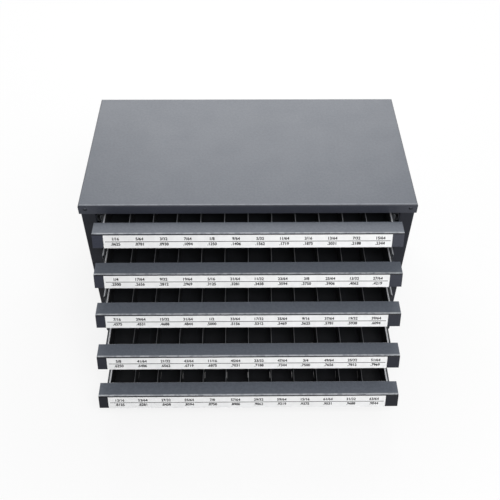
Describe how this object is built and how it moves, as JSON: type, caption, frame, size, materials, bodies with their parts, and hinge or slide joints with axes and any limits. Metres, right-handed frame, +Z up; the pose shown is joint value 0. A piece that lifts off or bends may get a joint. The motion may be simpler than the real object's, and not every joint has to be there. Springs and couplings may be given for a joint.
{
  "type": "drill bit drawer case",
  "caption": "Bench-top steel cabinet with shallow pull-out drawers, each divided into compartments for drill bits and fronted by a ledge pull with a numbered label strip.",
  "frame": {"origin": "centre of the case's footprint, on the bench under the base pan", "axes": "+X to the right seen from the front, +Y to the back, +Z up; the drawers open towards -Y"},
  "size_m": [0.635, 0.5874, 0.343],
  "materials": {
    "case_paint": "satin slate grey powder coat",
    "front_paint": "satin slate grey powder coat",
    "tray_paint": "satin dark grey powder coat",
    "divider_paint": "satin dark grey powder coat with worn edges",
    "slide_steel": "zinc plated",
    "rivet_steel": "painted over with the case",
    "label_stock": "white label strip with plain dark size numbers"
  },
  "bodies": {
    "cabinet": {"lid": "case_paint", "side_panel_left": "case_paint", "side_panel_right": "case_paint", "back_panel": "case_paint", "base_panel": "case_paint", "lid_rivets": "rivet_steel", "rails_left": "slide_steel", "rails_right": "slide_steel"},
    "drawer_1": {"drawer_1_tray": "tray_paint", "drawer_1_dividers": "divider_paint", "drawer_1_front": "front_paint", "drawer_1_label": "label_stock", "drawer_1_bar_left": "slide_steel", "drawer_1_bar_right": "slide_steel"},
    "runners_1": {"runner_1_left": "slide_steel", "runner_1_right": "slide_steel"},
    "drawer_2": {"drawer_2_tray": "tray_paint", "drawer_2_dividers": "divider_paint", "drawer_2_front": "front_paint", "drawer_2_label": "label_stock", "drawer_2_bar_left": "slide_steel", "drawer_2_bar_right": "slide_steel"},
    "runners_2": {"runner_2_left": "slide_steel", "runner_2_right": "slide_steel"},
    "drawer_3": {"drawer_3_tray": "tray_paint", "drawer_3_dividers": "divider_paint", "drawer_3_front": "front_paint", "drawer_3_label": "label_stock", "drawer_3_bar_left": "slide_steel", "drawer_3_bar_right": "slide_steel"},
    "runners_3": {"runner_3_left": "slide_steel", "runner_3_right": "slide_steel"},
    "drawer_4": {"drawer_4_tray": "tray_paint", "drawer_4_dividers": "divider_paint", "drawer_4_front": "front_paint", "drawer_4_label": "label_stock", "drawer_4_bar_left": "slide_steel", "drawer_4_bar_right": "slide_steel"},
    "runners_4": {"runner_4_left": "slide_steel", "runner_4_right": "slide_steel"},
    "drawer_5": {"drawer_5_tray": "tray_paint", "drawer_5_dividers": "divider_paint", "drawer_5_front": "front_paint", "drawer_5_label": "label_stock", "drawer_5_bar_left": "slide_steel", "drawer_5_bar_right": "slide_steel"},
    "runners_5": {"runner_5_left": "slide_steel", "runner_5_right": "slide_steel"}
  },
  "joints": [
    {"name": "drawer_1_slide", "type": "slide", "parent": "cabinet", "child": "drawer_1", "axis": [0, -1, 0], "range_m": [-0.02225, 0.22775]},
    {"name": "runners_1_slide", "type": "slide", "parent": "cabinet", "child": "runners_1", "axis": [0, -1, 0], "range_m": [-0.01891, 0.19359]},
    {"name": "drawer_2_slide", "type": "slide", "parent": "cabinet", "child": "drawer_2", "axis": [0, -1, 0], "range_m": [-0.06525, 0.18475]},
    {"name": "runners_2_slide", "type": "slide", "parent": "cabinet", "child": "runners_2", "axis": [0, -1, 0], "range_m": [-0.05546, 0.15704]},
    {"name": "drawer_3_slide", "type": "slide", "parent": "cabinet", "child": "drawer_3", "axis": [0, -1, 0], "range_m": [-0.10975, 0.14025]},
    {"name": "runners_3_slide", "type": "slide", "parent": "cabinet", "child": "runners_3", "axis": [0, -1, 0], "range_m": [-0.09329, 0.11921]},
    {"name": "drawer_4_slide", "type": "slide", "parent": "cabinet", "child": "drawer_4", "axis": [0, -1, 0], "range_m": [-0.1605, 0.0895]},
    {"name": "runners_4_slide", "type": "slide", "parent": "cabinet", "child": "runners_4", "axis": [0, -1, 0], "range_m": [-0.13642, 0.07608]},
    {"name": "drawer_5_slide", "type": "slide", "parent": "cabinet", "child": "drawer_5", "axis": [0, -1, 0], "range_m": [-0.20625, 0.04375]},
    {"name": "runners_5_slide", "type": "slide", "parent": "cabinet", "child": "runners_5", "axis": [0, -1, 0], "range_m": [-0.17531, 0.03719]}
  ],
  "couplings": [
    {"joint": "runners_1_slide", "follows": "drawer_1_slide", "ratio": 0.85},
    {"joint": "runners_2_slide", "follows": "drawer_2_slide", "ratio": 0.85},
    {"joint": "runners_3_slide", "follows": "drawer_3_slide", "ratio": 0.85},
    {"joint": "runners_4_slide", "follows": "drawer_4_slide", "ratio": 0.85},
    {"joint": "runners_5_slide", "follows": "drawer_5_slide", "ratio": 0.85}
  ]
}
